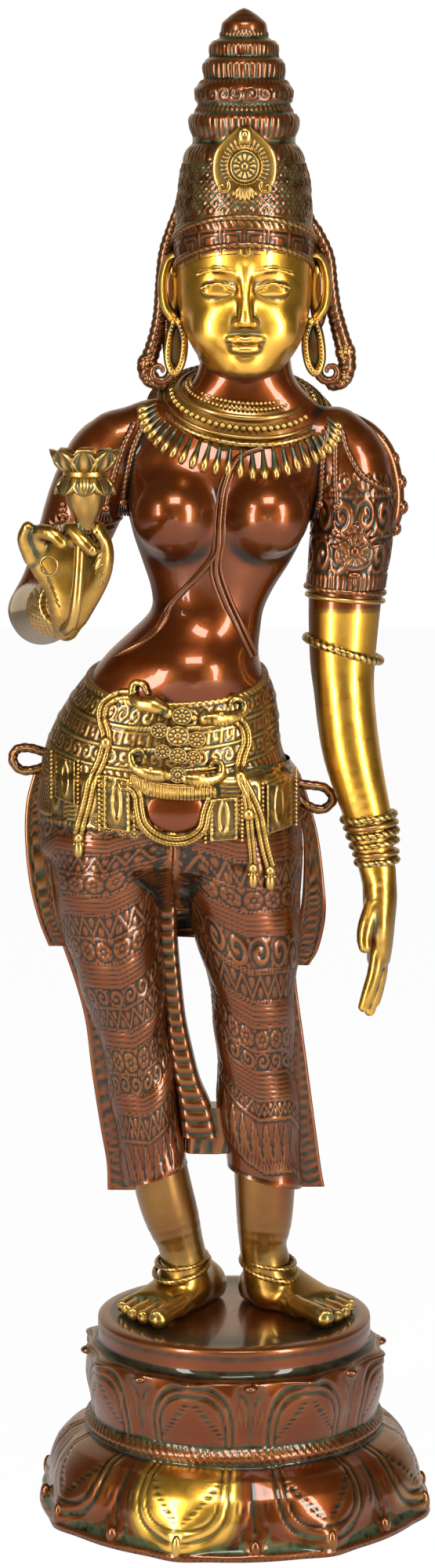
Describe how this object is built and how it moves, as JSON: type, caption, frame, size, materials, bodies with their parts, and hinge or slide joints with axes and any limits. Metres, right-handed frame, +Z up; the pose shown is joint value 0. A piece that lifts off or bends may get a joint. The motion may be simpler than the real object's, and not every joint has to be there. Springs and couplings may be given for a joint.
{
  "type": "standing goddess statue",
  "caption": "Cast brass standing goddess in a swayed pose, crowned and jewelled, holding a lotus bud, on a round double lotus pedestal.",
  "frame": {"origin": "centre of the pedestal's underside", "axes": "+Z up, the figure faces -Y, +X to the right of a viewer in front"},
  "size_m": [0.2612, 0.2646, 0.9135],
  "materials": {
    "figure_brass": "cast brass with reddish brown lacquer, polished gold areas and green patina in the recesses",
    "pedestal_brass": "cast brass with reddish brown lacquer, some petals polished gold"
  },
  "bodies": {
    "root": {"figure": "figure_brass", "pedestal": "pedestal_brass"}
  },
  "joints": []
}
